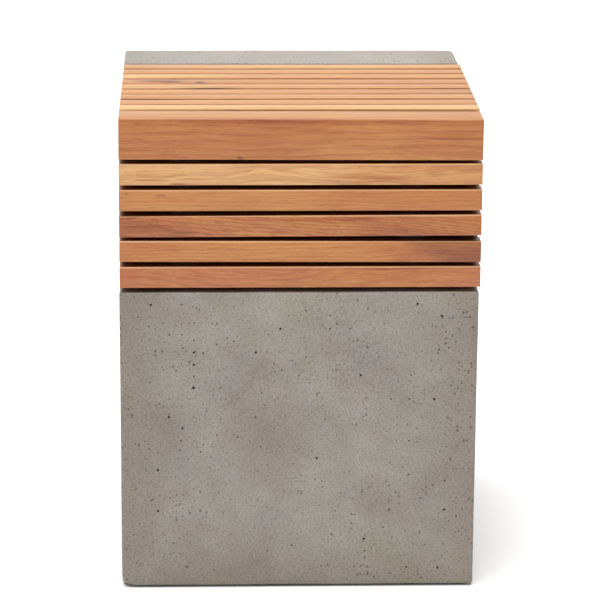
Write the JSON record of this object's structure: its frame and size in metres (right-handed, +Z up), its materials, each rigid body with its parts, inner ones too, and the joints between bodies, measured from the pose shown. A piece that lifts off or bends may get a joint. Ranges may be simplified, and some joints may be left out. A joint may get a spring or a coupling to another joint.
{
  "type": "one-seat block bench",
  "caption": "One-seat garden bench: a hollow cast concrete block with square timber slats let into its top and down its front end.",
  "frame": {"origin": "on the ground under the middle of the block", "axes": "+Z up; -Y is the end where the slats run down the front; +X to the right of someone who faces that end"},
  "size_m": [0.352, 0.35, 0.477],
  "materials": {
    "concrete": "cast, matte, with small air holes",
    "timber": "planed hardwood, light oil",
    "stainless": "mill finish",
    "screw_steel": "bright",
    "foot_rubber": "matte",
    "insert_brass": "machined"
  },
  "bodies": {
    "root": {"body": "concrete", "corner_board": "timber", "seat_slat_1": "timber", "seat_slat_2": "timber", "seat_slat_3": "timber", "seat_slat_4": "timber", "seat_slat_5": "timber", "seat_slat_6": "timber", "seat_slat_7": "timber", "seat_slat_8": "timber", "seat_slat_9": "timber", "front_slat_1": "timber", "front_slat_2": "timber", "front_slat_3": "timber", "front_slat_4": "timber", "front_slat_5": "timber", "left_strap": "stainless", "right_strap": "stainless", "slat_screws": "screw_steel", "stud_washers": "screw_steel", "stud_nuts": "screw_steel", "foot_front_left": "foot_rubber", "foot_front_right": "foot_rubber", "foot_back_left": "foot_rubber", "foot_back_right": "foot_rubber", "foot_screws": "screw_steel", "foot_inserts": "insert_brass"}
  },
  "joints": []
}
